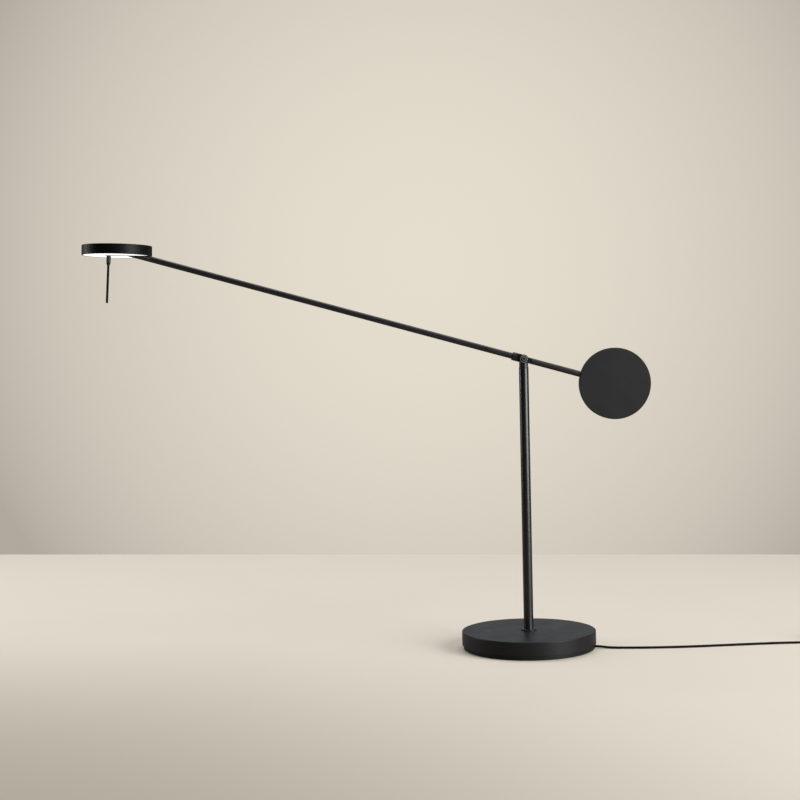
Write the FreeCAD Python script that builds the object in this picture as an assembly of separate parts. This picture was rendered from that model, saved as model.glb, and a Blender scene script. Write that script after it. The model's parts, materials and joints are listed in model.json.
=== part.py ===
import FreeCAD, Part
import math
import os

from FreeCAD import Vector

# A desk lamp whose long arm balances on a fork between a small disc head and a round weight.
# Millimetres. The origin is the centre of the base on the table, +X points to the weight,
# +Y away from the front, +Z up.

UP = Vector(0, 0, 1)
ALONG = Vector(1, 0, 0)
ACROSS = Vector(0, 1, 0)

# ---- fits that several pieces share ----
run_gap = 0.05        # running clearance of a shaft or of a flat that turns
seat_gap = 0.2        # slack round pieces that are dropped in and fixed
screw_relief = 0.3    # room past the end of a screw's point
bend_share = 0.45     # how much of a straight run the bend at its end may take
same = 1e-4           # two lengths nearer than this are the same

# ---- base ----
base_diameter = 180.0
cover_height = 18.0
cover_wall = 2.5
cover_top = 3.0
cover_edge = 1.2
plinth_inset = 2.0
plate_thickness = 5.5
foot_thickness = 1.0
foot_inset = 2.0
weight_thickness = 9.0
weight_slack = 1.0
weight_edge = 1.0
boss_diameter = 8.0
boss_inset = 18.0     # from the rim to the ring of bosses
boss_bearings = (90, 210, 330)
boss_slack = 0.5
plate_screw_diameter = 3.0
plate_screw_length = 13.0
plate_screw_head = 5.6

# ---- touch key and dimmer under it ----
key_diameter = 17.0
key_inset = 35.0      # from the rim to the key's centre
key_y = 2.0
key_flange = 1.5
key_flange_thickness = 1.0
key_ring_inset = 2.4
key_ring_width = 0.7
key_ring_depth = 0.2
spring_strip = 0.4
spring_reach = 4.0
board_length = 36.0
board_width = 28.0
board_thickness = 1.6
board_shift = 2.0     # the board's centre lies this far outside the key's
board_lead_offset = 4.7
terminal_size = 5.0
part_margin = 5.0
capacitor_diameter = 5.0
capacitor_height = 6.0
choke_diameter = 7.0
choke_bore = 3.0
choke_height = 4.0
switch_length = 5.0
switch_width = 4.0
switch_height = 1.5
standoff_height = 2.0
standoff_diameter = 4.5
standoff_margin = 3.5
pocket_depth = 5.5
pocket_margin = 2.0
pocket_tail = 12.0    # room beside the board where the leads come up
pole_lead_run = 13.0  # straight run of the pole's lead from the board

# ---- pole ----
pole_diameter = 13.0
pole_wall = 1.5
pole_length = 352.5
collar_diameter = 21.0
collar_height = 1.8
collar_edge = 0.5
nipple_bore = 6.0
nipple_reach = 20.0
nut_flats = 14.0
nut_thickness = 4.0
lock_washer_thickness = 1.0
nut_recess_slack = 0.5

# ---- swivel between pole and fork ----
spigot_diameter = 8.0
spigot_length = 20.0
bush_length = 22.0
thrust_washer_thickness = 0.4
swivel_screw_drop = 7.0
swivel_screw_bearing = 235.0
swivel_screw_diameter = 3.0
dog_diameter = 2.0
dog_depth = 0.8       # how far the screw's point reaches into the turning part
groove_slack = 0.2
swivel_stop_web = 20.0

# ---- fork and main pivot ----
pivot_rise = 12.5
fork_eye_radius = 6.0
fork_eye_half_width = 5.5
fork_shoulder_drop = 5.3
fork_floor_drop = 8.2
fork_floor_slope = 25.0
fork_bore = 2.8
friction_washer_thickness = 0.5
friction_washer_diameter = 10.0
pivot_diameter = 4.0
front_washer_diameter = 10.0
front_washer_thickness = 1.0
front_washer_edge = 0.3
pivot_head_diameter = 6.2
pivot_head_height = 1.6
pivot_head_edge = 0.4
hex_key = 2.0
hex_depth = 1.2
spring_washer_diameter = 10.0
spring_washer_thickness = 0.6
spring_washer_cone = 0.6
pivot_nut_flats = 8.0
pivot_nut_round = 8.7
pivot_nut_height = 4.0
pivot_nut_dome = 1.8

# ---- arm ----
arm_angle = 16.2      # the weight's side hangs this far below level, in degrees
arm_diameter = 8.0
arm_wall = 0.8
arm_reach = 564.0     # pivot to the head's pin
knuckle_thickness = 5.0
knuckle_height = 11.2
knuckle_flat_reach = 11.0
knuckle_socket_end = 15.7
knuckle_edge = 0.3
knuckle_spigot = 24.0
knuckle_screw_diameter = 2.0
knuckle_screw_bite = 0.4
lead_diameter = 2.0
lead_slack = 0.4
lead_bend = 5.0
lead_setback = 1.0    # the arm's lead starts this far inside its mouth

# ---- counterweight ----
disc_diameter = 96.0
disc_thickness = 11.0
disc_reach = 127.0    # pivot to the centre of the disc
disc_edge = 0.6
disc_socket_depth = 18.0
disc_screw_diameter = 4.0

# ---- head joint ----
shank_length = 27.0
shank_collar = 2.0
head_eye_radius = 3.9
head_eye_reach = 7.0
head_pin_diameter = 3.0
head_pin_head = 5.0
head_pin_head_height = 1.2
clip_thickness = 0.6
clip_diameter = 5.6
clip_gap_angle = 70.0
clip_bite = 0.3
roll_screw_reach = 20.0
roll_stop_web = 120.0

# ---- head ----
head_angle = 1.9      # tilt of the disc from level, in degrees
head_diameter = 93.0
head_height = 13.5
pin_rise = 0.7        # the pin sits this far above the middle of the head's height
head_wall = 1.5
head_top = 1.5
head_edge = 0.8
cap_edge = 0.3        # fine bevel that marks the cap's seam
head_slot_width = 9.0
head_slot_start = 7.0
block_wall = 2.0
block_back = 16.0
block_corner = 1.5
lug_length = 8.0
lug_width = 6.0
lug_thickness = 2.0
lug_x = 26.0
lug_screw_diameter = 2.5
lug_screw_head = 4.4
lug_screw_head_height = 1.5
lug_screw_key = 1.5
lug_screw_key_depth = 0.9
lug_screw_bite = 1.0
led_board_inset = 3.0 # from the rim's wall to the board's edge
led_board_thickness = 1.2
chip_size = 3.0
chip_height = 0.8
chip_rings = ((9.0, 20), (21.0, 12))    # distance in from the board's edge, and how many
diffuser_thickness = 1.5
diffuser_recess = 0.3
reflector_wall = 0.8
reflector_slope = 2.2

# ---- handle under the head ----
handle_x = -11.0
handle_lean = 1.8     # the stick leans this far from square, in degrees
handle_diameter = 3.2
handle_length = 63.4
handle_tip = 1.2
ferrule_diameter = 5.8
ferrule_barrel = 10.0
ferrule_taper = 3.5
handle_thread = 6.0

# ---- cord and plug-in driver ----
cord_diameter = 3.2
cord_length = 1800.0
cord_exit_angle = -10.0
cord_exit_height = 3.4
cord_bush_diameter = 4.4
cord_bush_length = 22.0
cord_bush_flange = 6.4
cord_bush_flange_thickness = 2.0
cord_bush_proud = 0.8
coil_x = 414.0
coil_y = 11.0
coil_mid_diameter = 35.0
coil_layers = 4
driver_length = 62.0
driver_width = 34.0
driver_height = 26.0
driver_round = 5.0
driver_edge = 1.2
driver_x = 465.0      # the end that the strain relief stands on
driver_bush_length = 22.0
driver_bush_wide = 7.0
driver_bush_narrow = 4.2
driver_pin_diameter = 4.0
driver_pin_pitch = 19.0
driver_pin_length = 19.0
driver_pin_round = 1.3

# The cord's route on the table, from its exit to the edge of the coil.
cord_route = (
    (87.5, -15.4, 3.4), (95.4, -16.8, 3.4), (108.0, -18.9, 1.6), (132.0, -22.1, 1.6),
    (168.0, -24.8, 1.6), (212.0, -23.8, 1.6), (256.0, -19.4, 1.6), (300.0, -14.6, 1.6),
    (340.0, -11.9, 1.6), (380.0, -12.1, 1.6), (412.0, -11.4, 1.6),
)

# The tail from the coil's top turn to the driver: how far along +X, how far aside, and how high.
tail_steps = ((4.0, 0.0, 11.2), (12.0, 0.3, 11.6), (20.5, 0.0, 13.0), (29.0, 0.0, 13.0))

# ---- places that follow from the sizes ----
base_radius = base_diameter / 2
plinth_radius = base_radius - plinth_inset
boss_ring_radius = base_radius - boss_inset
key_x = key_inset - base_radius
board_x = key_x - board_shift
board_y = key_y
plate_z = foot_thickness
cover_z = plate_z + plate_thickness
base_top = cover_z + cover_height
cover_inner_z = base_top - cover_top
weight_top = cover_z + weight_thickness
pocket_floor = weight_top - pocket_depth
board_z = pocket_floor + standoff_height
board_top = board_z + board_thickness
lead_z = weight_top + lead_diameter
pole_radius = pole_diameter / 2
pole_bore_radius = pole_radius - pole_wall
pole_top = base_top + pole_length
fork_z = pole_top + thrust_washer_thickness + 2 * run_gap
pivot_z = fork_z + pivot_rise
slot_width = knuckle_thickness + 2 * friction_washer_thickness + 4 * run_gap
arm_radius = arm_diameter / 2
arm_bore_radius = arm_radius - arm_wall
lead_radius = lead_diameter / 2
lead_hole_radius = lead_radius + lead_slack
cord_radius = cord_diameter / 2
disc_rim_x = disc_reach - disc_diameter / 2
shank_start = head_eye_reach + shank_collar
arm_tube_end = -arm_reach + shank_start + run_gap
head_radius = head_diameter / 2
head_inner_radius = head_radius - head_wall
led_board_radius = head_inner_radius - led_board_inset
head_under = -head_height / 2 - pin_rise
head_upper = head_under + head_height
head_ceiling = head_upper - head_top
block_half = head_slot_width / 2 + block_wall
block_under = head_under + diffuser_recess
led_under = head_ceiling - led_board_thickness
lug_under = head_ceiling - lug_thickness
diffuser_top = block_under + diffuser_thickness


# ---- small makers ----
def rod(diameter, start, end):
    """A cylinder between two points."""
    line = end - start
    return Part.makeCylinder(diameter / 2, line.Length, start, line)


def pipe(outer, inner, start, end):
    return rod(outer, start, end).cut(rod(inner, start, end))


def block(low, high):
    size = high - low
    return Part.makeBox(size.x, size.y, size.z, low)


def turned(points, axis=UP, place=Vector(0, 0, 0)):
    """A solid of revolution from (radius, height) points along an axis."""
    face = Part.Face(Part.makePolygon([Vector(r, 0, h) for r, h in points + [points[0]]]))
    solid = face.revolve(Vector(0, 0, 0), UP, 360)
    solid.Placement = FreeCAD.Placement(place, FreeCAD.Rotation(UP, axis))
    return solid


def hexagon(flats, start, end):
    """A hexagonal bar between two points."""
    corner = flats / math.sqrt(3)
    ring = [Vector(corner * math.cos(math.radians(60 * k)), corner * math.sin(math.radians(60 * k)), 0)
            for k in range(7)]
    bar = Part.Face(Part.makePolygon(ring)).extrude(Vector(0, 0, (end - start).Length))
    bar.Placement = FreeCAD.Placement(start, FreeCAD.Rotation(UP, end - start))
    return bar


def sector(radius, low, high, start_angle, sweep):
    """A pie slice about +Z."""
    slice_ = Part.makeCylinder(radius, high - low, Vector(0, 0, low), UP, sweep)
    slice_.rotate(Vector(0, 0, 0), UP, start_angle)
    return slice_


def bevelled(shape, size, picks):
    edges = [edge for edge in shape.Edges if picks(edge)]
    return shape.makeChamfer(size, edges)


def rounded(shape, size, picks):
    edges = [edge for edge in shape.Edges if picks(edge)]
    return shape.makeFillet(size, edges)


def circle_at(radius, axis, level):
    """Picks the full circles of one radius at one level along an axis."""
    def picks(edge):
        curve = edge.Curve
        if not isinstance(curve, Part.Circle):
            return False
        near = abs(curve.Radius - radius) < same
        return near and abs(curve.Center.dot(axis) - level) < same
    return picks


def group(shapes):
    return Part.makeCompound(shapes)


def grub_screw(diameter, point, outer, inner, tip):
    """A socket grub screw along +X, from its outer face in to its tapered or dog point."""
    body = rod(diameter, Vector(inner, 0, 0), Vector(outer, 0, 0))
    dog = rod(point, Vector(tip, 0, 0), Vector(inner, 0, 0))
    depth = (outer - inner) / 2
    socket = hexagon(diameter / 2, Vector(outer - depth, 0, 0), Vector(outer, 0, 0))
    return body.fuse(dog).cut(socket)


# ---- leads and cord: straight runs joined by tangent arcs ----
def rounded_path(points, widest=None):
    """A wire through the points with an arc at each, and the arcs' radii."""
    edges = []
    radii = []
    here = points[0]
    for before, corner, after in zip(points, points[1:], points[2:]):
        back = (before - corner).normalize()
        ahead = (after - corner).normalize()
        half_turn = (math.pi - back.getAngle(ahead)) / 2
        shorter = min((before - corner).Length, (after - corner).Length)
        reach = bend_share * shorter
        if widest:
            reach = min(reach, widest * math.tan(half_turn))
        radius = reach / math.tan(half_turn)
        bisector = (back + ahead).normalize()
        middle = corner + bisector * (radius / math.cos(half_turn) - radius)
        start = corner + back * reach
        end = corner + ahead * reach
        edges.append(Part.LineSegment(here, start).toShape())
        edges.append(Part.Arc(start, middle, end).toShape())
        radii.append(radius)
        here = end
    edges.append(Part.LineSegment(here, points[-1]).toShape())
    return Part.Wire(edges), radii


def along_path(path, diameter):
    """A round lead along a wire."""
    start = path.Edges[0].Vertexes[0].Point
    heading = path.Edges[0].tangentAt(path.Edges[0].FirstParameter)
    section = Part.Wire(Part.Circle(start, heading, diameter / 2).toShape())
    sweep = Part.BRepOffsetAPI.MakePipeShell(path)
    sweep.add(section)
    sweep.build()
    sweep.makeSolid()
    return sweep.shape()


# ---- base ----
def boss_places(z):
    return [Vector(boss_ring_radius * math.cos(math.radians(turn)),
                   boss_ring_radius * math.sin(math.radians(turn)), z) for turn in boss_bearings]


def base_cover():
    """Spun cover: a shallow cup with a rounded top edge and three screw bosses."""
    inner = base_radius - cover_wall
    cup = rod(base_diameter, Vector(0, 0, cover_z), Vector(0, 0, base_top))
    cup = rounded(cup, cover_edge, circle_at(base_radius, UP, base_top))
    cup = cup.cut(rod(2 * inner, Vector(0, 0, cover_z), Vector(0, 0, cover_inner_z)))
    for place in boss_places(cover_z):
        cup = cup.fuse(rod(boss_diameter, place, place + UP * (cover_inner_z - cover_z)))
    for place in boss_places(cover_z):
        depth = plate_screw_length - plate_thickness + screw_relief
        cup = cup.cut(rod(plate_screw_diameter, place, place + UP * depth))
    pole_hole = 2 * (pole_bore_radius + seat_gap)
    cup = cup.cut(rod(pole_hole, Vector(0, 0, cover_inner_z), Vector(0, 0, base_top)))
    key_hole = key_diameter + 2 * seat_gap
    cup = cup.cut(rod(key_hole, Vector(key_x, key_y, cover_inner_z), Vector(key_x, key_y, base_top)))
    return cup.removeSplitter()


def lead_riser_x():
    return board_x + board_length / 2 + pocket_margin + cord_diameter


def lead_in_y():
    return board_y - board_lead_offset


def lead_out_y():
    return board_y + board_lead_offset


def base_weight():
    """Cast disc with a pocket for the dimmer, a nut recess and holes for the bosses."""
    radius = base_radius - cover_wall - weight_slack
    disc = rod(2 * radius, Vector(0, 0, cover_z), Vector(0, 0, weight_top))
    disc = bevelled(disc, weight_edge, circle_at(radius, UP, weight_top))
    hole = 2 * (pole_bore_radius + seat_gap)
    disc = disc.cut(rod(hole, Vector(0, 0, cover_z), Vector(0, 0, weight_top)))
    recess = nut_flats * 2 / math.sqrt(3) + 2 * nut_recess_slack
    disc = disc.cut(rod(recess, Vector(0, 0, cover_z), Vector(0, 0, nut_seat())))
    for place in boss_places(cover_z):
        disc = disc.cut(rod(boss_diameter + 2 * boss_slack, place, place + UP * weight_thickness))
    low = Vector(board_x - board_length / 2 - pocket_margin,
                 board_y - board_width / 2 - pocket_margin, pocket_floor)
    high = Vector(board_x + board_length / 2 + pocket_tail,
                  board_y + board_width / 2 + pocket_margin, weight_top)
    disc = disc.cut(block(low, high))
    riser = Vector(lead_riser_x(), lead_in_y(), cover_z)
    disc = disc.cut(rod(cord_diameter + 2 * weight_slack, riser, riser + UP * weight_thickness))
    return disc


def nut_seat():
    return cover_z + nut_recess_slack + nut_thickness + lock_washer_thickness


def exit_heading():
    angle = math.radians(cord_exit_angle)
    return Vector(math.cos(angle), math.sin(angle), 0)


def exit_point(radius):
    return exit_heading() * radius + UP * cord_exit_height


def bottom_plate():
    """Moulded plinth with a channel for the lead and a stepped pocket for its bush."""
    plate = rod(2 * plinth_radius, Vector(0, 0, plate_z), Vector(0, 0, cover_z))
    for place in boss_places(plate_z):
        plate = plate.cut(rod(plate_screw_diameter + 2 * seat_gap, place, place + UP * plate_thickness))
        cone = Part.makeCone(plate_screw_head / 2, plate_screw_diameter / 2 + seat_gap,
                             plate_screw_head / 2 - plate_screw_diameter / 2, place, UP)
        plate = plate.cut(cone)
    inner = plinth_radius - cord_bush_length
    plate = plate.cut(rod(cord_bush_diameter, exit_point(inner), exit_point(base_radius)))
    flange_end = inner + cord_bush_flange_thickness
    plate = plate.cut(open_channel(exit_point(inner), exit_point(flange_end), cord_bush_flange, plate_z))
    gap = cord_diameter + 2 * seat_gap
    start, riser = inner_lead_route()[1:3]
    floor = cord_exit_height - gap / 2
    plate = plate.cut(open_channel(start, riser, gap, floor))
    for turn in (start, riser):
        plate = plate.cut(rod(gap, turn - UP * (gap / 2), turn + UP * plate_thickness))
    return plate


def open_channel(start, end, width, floor):
    """A groove in the plate's upper face, down to its floor level, between two points of the lead."""
    bar = block(Vector(0, -width / 2, floor - start.z),
                Vector((end - start).Length, width / 2, cover_z))
    bar.Placement = FreeCAD.Placement(start, FreeCAD.Rotation(ALONG, end - start))
    return bar


def foot_pad():
    """Soft pad under the plinth that also hides its screws."""
    return rod(2 * (plinth_radius - foot_inset), Vector(0, 0, 0), Vector(0, 0, plate_z))


def bottom_screws():
    """Three countersunk screws from below into the cover's bosses."""
    screws = []
    head_depth = (plate_screw_head - plate_screw_diameter) / 2
    for place in boss_places(plate_z):
        shank = rod(plate_screw_diameter, place, place + UP * plate_screw_length)
        head = Part.makeCone(plate_screw_head / 2 - seat_gap, plate_screw_diameter / 2,
                             head_depth - seat_gap, place, UP)
        socket = hexagon(hex_key, place, place + UP * hex_depth)
        screws.append(shank.fuse(head).cut(socket))
    return group(screws)


def touch_key():
    """Round key set flush in the cover, with a flange glued under the cover's top."""
    radius = key_diameter / 2
    flange_radius = radius + key_flange
    flange_z = cover_inner_z - key_flange_thickness
    top = base_top - run_gap
    ring_out = radius - key_ring_inset
    ring_in = ring_out - key_ring_width
    ring_floor = top - key_ring_depth
    outline = [(0, flange_z), (flange_radius, flange_z), (flange_radius, cover_inner_z),
               (radius, cover_inner_z), (radius, top), (ring_out, top), (ring_out, ring_floor),
               (ring_in, ring_floor), (ring_in, top), (0, top)]
    return turned(outline, UP, Vector(key_x, key_y, 0))


def touch_spring():
    """Bent strip that carries the key's touch from its underside to the board."""
    top = cover_inner_z - key_flange_thickness
    strip = spring_strip
    half = spring_reach
    outline = [(-half, board_top), (half, board_top), (half, board_top + strip),
               (-half + 2 * strip, board_top + strip), (half, top - strip), (half, top),
               (-half, top), (-half, top - strip), (half - 2 * strip, top - strip),
               (-half, board_top + strip)]
    corners = [Vector(key_x + x, key_y - half / 2, z) for x, z in outline + [outline[0]]]
    return Part.Face(Part.makePolygon(corners)).extrude(ACROSS * half)


def dimmer_board():
    low = Vector(board_x - board_length / 2, board_y - board_width / 2, board_z)
    board = block(low, low + Vector(board_length, board_width, board_thickness))
    for place in standoff_places(board_z):
        board = board.cut(rod(lug_screw_diameter, place, place + UP * board_thickness))
    return board


def standoff_places(z):
    dx = board_length / 2 - standoff_margin
    dy = board_width / 2 - standoff_margin
    return [Vector(board_x + sx * dx, board_y + sy * dy, z) for sx in (-1, 1) for sy in (-1, 1)]


def board_screws():
    """Four posts standing in the pocket, each with its screw through the board."""
    posts = []
    for place in standoff_places(pocket_floor):
        post = rod(standoff_diameter, place, place + UP * standoff_height)
        screw = rod(lug_screw_diameter, place, place + UP * (board_top - pocket_floor))
        head_z = place + UP * (board_top - pocket_floor)
        head = rod(lug_screw_head, head_z, head_z + UP * lug_screw_head_height)
        posts.append(post.fuse(screw).fuse(head))
    return group(posts)


def terminal(y):
    """Terminal block at the board's inner edge, as tall as the lead that enters it."""
    edge = board_x + board_length / 2
    half = terminal_size / 2
    low = Vector(edge - terminal_size, y - half, board_top)
    return block(low, Vector(edge, y + half, lead_z + lead_diameter))


def dimmer_parts():
    """What stands on the board: two terminals, a capacitor, a choke and a switching chip."""
    left = board_x - board_length / 2
    front = board_y - board_width / 2
    back = board_y + board_width / 2
    can_foot = Vector(left + 2 * part_margin, back - part_margin, board_top)
    can = rod(capacitor_diameter, can_foot, can_foot + UP * capacitor_height)
    ring_foot = Vector(left + part_margin, board_y, board_top)
    ring = pipe(choke_diameter, choke_bore, ring_foot, ring_foot + UP * choke_height)
    corner = Vector(board_x + part_margin, front + part_margin / 2, board_top)
    chip = block(corner, corner + Vector(switch_length, switch_width, switch_height))
    return group([terminal(lead_in_y()), terminal(lead_out_y()), can, ring, chip])


def cord_bush():
    """Flanged tapered bush that holds the cord in the plinth."""
    inner = plinth_radius - cord_bush_length
    length = cord_bush_length + cord_bush_proud
    outline = [(cord_radius, 0), (cord_bush_flange / 2 - seat_gap, 0),
               (cord_bush_flange / 2 - seat_gap, cord_bush_flange_thickness),
               (cord_bush_diameter / 2, cord_bush_flange_thickness),
               (cord_bush_diameter / 2, cord_bush_length / 2),
               (cord_bush_diameter / 2 - seat_gap, length), (cord_radius, length)]
    bush = turned(outline, exit_heading(), exit_point(inner))
    wide = base_radius
    room = block(Vector(-wide, -wide, plate_z), Vector(wide, wide, cover_z))
    return bush.common(room)


def inner_lead_route():
    """From the bush's outer face along the plinth, up beside the board and into its terminal."""
    riser = Vector(lead_riser_x(), lead_in_y(), cord_exit_height)
    return [exit_point(plinth_radius + cord_bush_proud), exit_point(plinth_radius - cord_bush_length),
            riser, Vector(riser.x, riser.y, lead_z),
            Vector(board_x + board_length / 2, riser.y, lead_z)]


def inner_lead():
    """The cord's inner end, held in the bush."""
    path = rounded_path(inner_lead_route(), lead_bend)[0]
    return along_path(path, cord_diameter)


# ---- pole ----
def pole_nipple():
    """Threaded tube that draws the pole down, with a window for the lead."""
    bottom = Vector(0, 0, nut_seat() - lock_washer_thickness - nut_thickness)
    top = Vector(0, 0, base_top + nipple_reach)
    tube = pipe(2 * pole_bore_radius, nipple_bore, bottom, top)
    window = block(Vector(-pole_radius, -lead_diameter, weight_top + seat_gap),
                   Vector(0, lead_diameter, cover_inner_z - seat_gap))
    return tube.cut(window)


def pole_nut():
    top = Vector(0, 0, nut_seat() - lock_washer_thickness)
    bottom = top - UP * nut_thickness
    nut = hexagon(nut_flats, bottom, top)
    return nut.cut(rod(2 * pole_bore_radius, bottom, top))


def lock_washer():
    """Split washer between the nut and the weight."""
    top = Vector(0, 0, nut_seat())
    ring = pipe(nut_flats, 2 * pole_bore_radius + seat_gap, top - UP * lock_washer_thickness, top)
    split = block(Vector(0, -seat_gap, 0), Vector(nut_flats, seat_gap, nut_seat()))
    return ring.cut(split)


def pole_collar():
    outer = collar_diameter / 2
    top = base_top + collar_height
    outline = [(pole_radius, base_top), (outer, base_top), (outer, top - collar_edge),
               (outer - collar_edge, top), (pole_radius, top)]
    return turned(outline)


def swivel_screw_place(shape, z):
    shape.rotate(Vector(0, 0, 0), UP, swivel_screw_bearing)
    shape.translate(Vector(0, 0, z))
    return shape


def pole_tube():
    tube = pipe(pole_diameter, 2 * pole_bore_radius, Vector(0, 0, base_top), Vector(0, 0, pole_top))
    hole = rod(swivel_screw_diameter, Vector(0, 0, 0), Vector(pole_diameter, 0, 0))
    return tube.cut(swivel_screw_place(hole, pole_top - swivel_screw_drop))


def swivel_bush():
    """Bearing sleeve pressed into the top of the pole."""
    bore = spigot_diameter + 2 * run_gap
    top = Vector(0, 0, pole_top)
    sleeve = pipe(2 * pole_bore_radius, bore, top - UP * bush_length, top)
    hole = rod(swivel_screw_diameter, Vector(0, 0, 0), Vector(pole_diameter, 0, 0))
    return sleeve.cut(swivel_screw_place(hole, pole_top - swivel_screw_drop))


def swivel_screw():
    """Screw whose point runs in the fork's groove and stops it before a full turn."""
    screw = grub_screw(swivel_screw_diameter, dog_diameter, pole_radius - seat_gap,
                       spigot_diameter / 2 + screw_relief, spigot_diameter / 2 - dog_depth)
    return swivel_screw_place(screw, pole_top - swivel_screw_drop)


def pole_lead():
    """Lead from the board, in at the nipple's window and up the pole into the fork."""
    edge = board_x + board_length / 2
    corner = Vector(-2 * pole_radius, 0, lead_z)
    top = Vector(0, 0, pivot_z - fork_floor_drop - lead_diameter)
    route = [Vector(edge, lead_out_y(), lead_z), Vector(edge + pole_lead_run, lead_out_y(), lead_z),
             corner, Vector(0, 0, lead_z), top]
    return along_path(rounded_path(route, nipple_bore / 2)[0], lead_diameter)


# ---- fork, turned and slotted ----
def fork():
    """Turned body, cross barrel at the pivot, slot with a roof-shaped floor, grooved spigot."""
    pivot = Vector(0, 0, pivot_z)
    shoulder = pivot_z - fork_shoulder_drop
    body = rod(pole_diameter, Vector(0, 0, fork_z), Vector(0, 0, shoulder))
    column = rod(pole_diameter, Vector(0, 0, fork_z), pivot)
    neck = column.common(block(Vector(-fork_eye_radius, -pole_radius, shoulder),
                               Vector(fork_eye_radius, pole_radius, pivot_z)))
    side = ACROSS * fork_eye_half_width
    barrel = rod(2 * fork_eye_radius, pivot - side, pivot + side)
    spigot = rod(spigot_diameter, Vector(0, 0, fork_z - spigot_length), Vector(0, 0, fork_z))
    spigot = bevelled(spigot, collar_edge, circle_at(spigot_diameter / 2, UP, fork_z - spigot_length))
    shape = body.fuse([neck, barrel, spigot]).removeSplitter()
    for face in (side * -1, side):
        shape = shape.cut(rod(2 * fork_eye_radius, pivot + face, pivot + face * 2))
    shape = shape.cut(fork_slot())
    shape = shape.cut(rod(fork_bore, Vector(0, 0, fork_z - spigot_length), pivot))
    reach = ACROSS * pole_diameter
    shape = shape.cut(rod(pivot_diameter + 2 * run_gap, pivot - reach, pivot + reach))
    return shape.cut(spigot_groove())


def fork_slot():
    """The slot's outline from the side: its floor falls away to both sides of the pole."""
    wide = pole_diameter
    middle = pivot_z - fork_floor_drop
    edge = middle - wide * math.tan(math.radians(fork_floor_slope))
    top = pivot_z + pole_diameter
    outline = [(0, middle), (wide, edge), (wide, top), (-wide, top), (-wide, edge), (0, middle)]
    corners = [Vector(x, -slot_width / 2, z) for x, z in outline]
    return Part.Face(Part.makePolygon(corners)).extrude(ACROSS * slot_width)


def stop_groove(diameter, depth, width, web, bearing):
    """Cutter for a groove about +Z, centred on z = 0, that leaves a stop web at one bearing."""
    half = UP * (width / 2)
    slot = pipe(diameter + 2 * depth, diameter - 2 * depth, half * -1, half)
    stop = sector(diameter, -width, width, bearing - web / 2, web)
    return slot.cut(stop)


def spigot_groove():
    depth = dog_depth + groove_slack
    width = dog_diameter + 2 * groove_slack
    cutter = stop_groove(spigot_diameter, depth, width, swivel_stop_web, swivel_screw_bearing + 180)
    cutter.translate(Vector(0, 0, pole_top - swivel_screw_drop))
    return cutter


def thrust_washer():
    low = Vector(0, 0, pole_top + run_gap)
    high = Vector(0, 0, fork_z - run_gap)
    return pipe(pole_diameter - 2 * seat_gap, spigot_diameter + 2 * run_gap, low, high)


def friction_washers():
    """Two washers that grip the arm's flats inside the fork."""
    washers = []
    for side in (-1, 1):
        near = side * (knuckle_thickness / 2 + run_gap)
        far = near + side * friction_washer_thickness
        washers.append(pipe(friction_washer_diameter, pivot_diameter + 2 * run_gap,
                            Vector(0, near, pivot_z), Vector(0, far, pivot_z)))
    return group(washers)


def front_washer():
    face = Vector(0, -fork_eye_half_width, pivot_z)
    outer = face - ACROSS * front_washer_thickness
    ring = pipe(front_washer_diameter, pivot_diameter + 2 * run_gap, outer, face)
    picks = circle_at(front_washer_diameter / 2, ACROSS, outer.y)
    return bevelled(ring, front_washer_edge, picks)


def pivot_screw():
    """Main pivot: socket screw from the front into the dome nut behind."""
    seat = -fork_eye_half_width - front_washer_thickness
    face = seat - pivot_head_height
    nut_face = nut_y() + pivot_nut_height
    centre = Vector(0, 0, pivot_z)
    head = rod(pivot_head_diameter, centre + ACROSS * seat, centre + ACROSS * face)
    head = bevelled(head, pivot_head_edge, circle_at(pivot_head_diameter / 2, ACROSS, face))
    shank = rod(pivot_diameter, centre + ACROSS * seat, centre + ACROSS * (nut_face - screw_relief))
    socket = hexagon(hex_key, centre + ACROSS * (face + hex_depth), centre + ACROSS * face)
    return head.fuse(shank).cut(socket)


def nut_y():
    return fork_eye_half_width + spring_washer_thickness + spring_washer_cone


def spring_washer():
    """Coned washer that keeps the pivot tight."""
    bore = pivot_diameter / 2 + run_gap
    outer = spring_washer_diameter / 2
    outline = [(bore, spring_washer_cone), (outer, 0), (outer, spring_washer_thickness),
               (bore, spring_washer_cone + spring_washer_thickness)]
    return turned(outline, ACROSS, Vector(0, fork_eye_half_width, pivot_z))


def pivot_nut():
    """Hexagonal nut with a domed end."""
    centre = Vector(0, 0, pivot_z)
    start = centre + ACROSS * nut_y()
    end = start + ACROSS * pivot_nut_height
    nut = hexagon(pivot_nut_flats, start, end)
    nut = nut.common(rod(pivot_nut_round, start, end))
    dome_radius = pivot_nut_flats / 2 - seat_gap
    rise = pivot_nut_dome
    ball = (dome_radius ** 2 + rise ** 2) / (2 * rise)
    dome = Part.makeSphere(ball, end - ACROSS * (ball - rise))
    cap = dome.common(rod(2 * dome_radius, end, end + ACROSS * (2 * rise)))
    return nut.fuse(cap).cut(rod(pivot_diameter, start, end - ACROSS * screw_relief))


# ---- arm: modelled level along X from the pivot, then tilted ----
def on_arm(shape):
    shape.rotate(Vector(0, 0, 0), ACROSS, arm_angle)
    shape.translate(Vector(0, 0, pivot_z))
    return shape


def flat_bar(start, end, height, thickness):
    """Tongue milled flat on two sides from round bar."""
    slab = block(Vector(start, -thickness / 2, -height / 2), Vector(end, thickness / 2, height / 2))
    return slab.common(rod(height, Vector(start, 0, 0), Vector(end, 0, 0)))


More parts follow.
